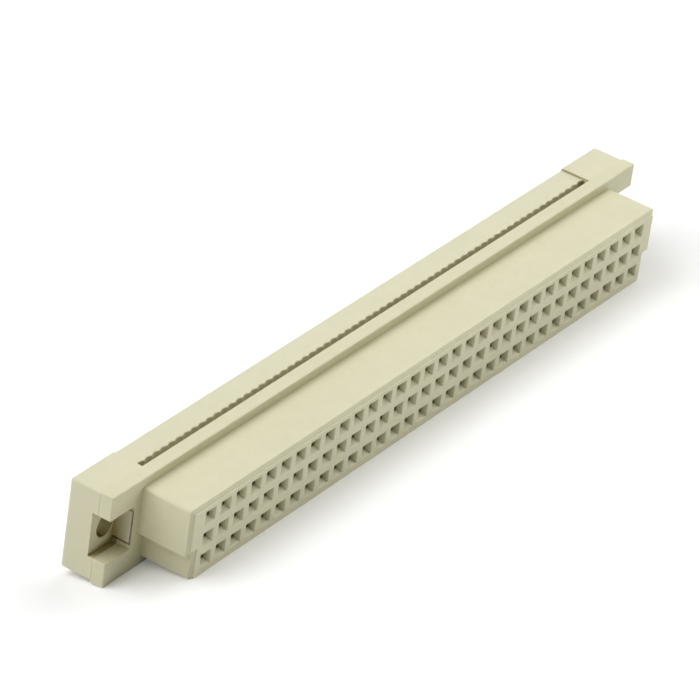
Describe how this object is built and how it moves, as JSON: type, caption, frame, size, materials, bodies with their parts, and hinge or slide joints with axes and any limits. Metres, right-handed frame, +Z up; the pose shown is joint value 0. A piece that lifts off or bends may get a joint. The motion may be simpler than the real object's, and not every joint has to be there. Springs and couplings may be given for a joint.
{
  "type": "backplane connector",
  "caption": "Female backplane connector for ribbon cable: keyed body with rows of square pin cavities, flange with slotted screw ears, grooved cable cover and stamped fork contacts.",
  "frame": {"origin": "on the surface that the part rests on, under the middle of its box", "axes": "+X along the length, towards the right end as seen from the mating face; +Z up; the mating face looks to -Y and a little down, because the part rests tipped forward on the lower edges of the mating face and of the flange"},
  "size_m": [0.095, 0.0128, 0.0112],
  "materials": {
    "housing": "moulded, satin",
    "cover": "moulded, satin",
    "contacts": "stamped, satin"
  },
  "bodies": {
    "root": {"housing": "housing", "cable_cover": "cover", "contact_a01": "contacts", "contact_a02": "contacts", "contact_a03": "contacts", "contact_a04": "contacts", "contact_a05": "contacts", "contact_a06": "contacts", "contact_a07": "contacts", "contact_a08": "contacts", "contact_a09": "contacts", "contact_a10": "contacts", "contact_a11": "contacts", "contact_a12": "contacts", "contact_a13": "contacts", "contact_a14": "contacts", "contact_a15": "contacts", "contact_a16": "contacts", "contact_a17": "contacts", "contact_a18": "contacts", "contact_a19": "contacts", "contact_a20": "contacts", "contact_a21": "contacts", "contact_a22": "contacts", "contact_a23": "contacts", "contact_a24": "contacts", "contact_a25": "contacts", "contact_a26": "contacts", "contact_a27": "contacts", "contact_a28": "contacts", "contact_a29": "contacts", "contact_a30": "contacts", "contact_a31": "contacts", "contact_a32": "contacts"}
  },
  "joints": []
}
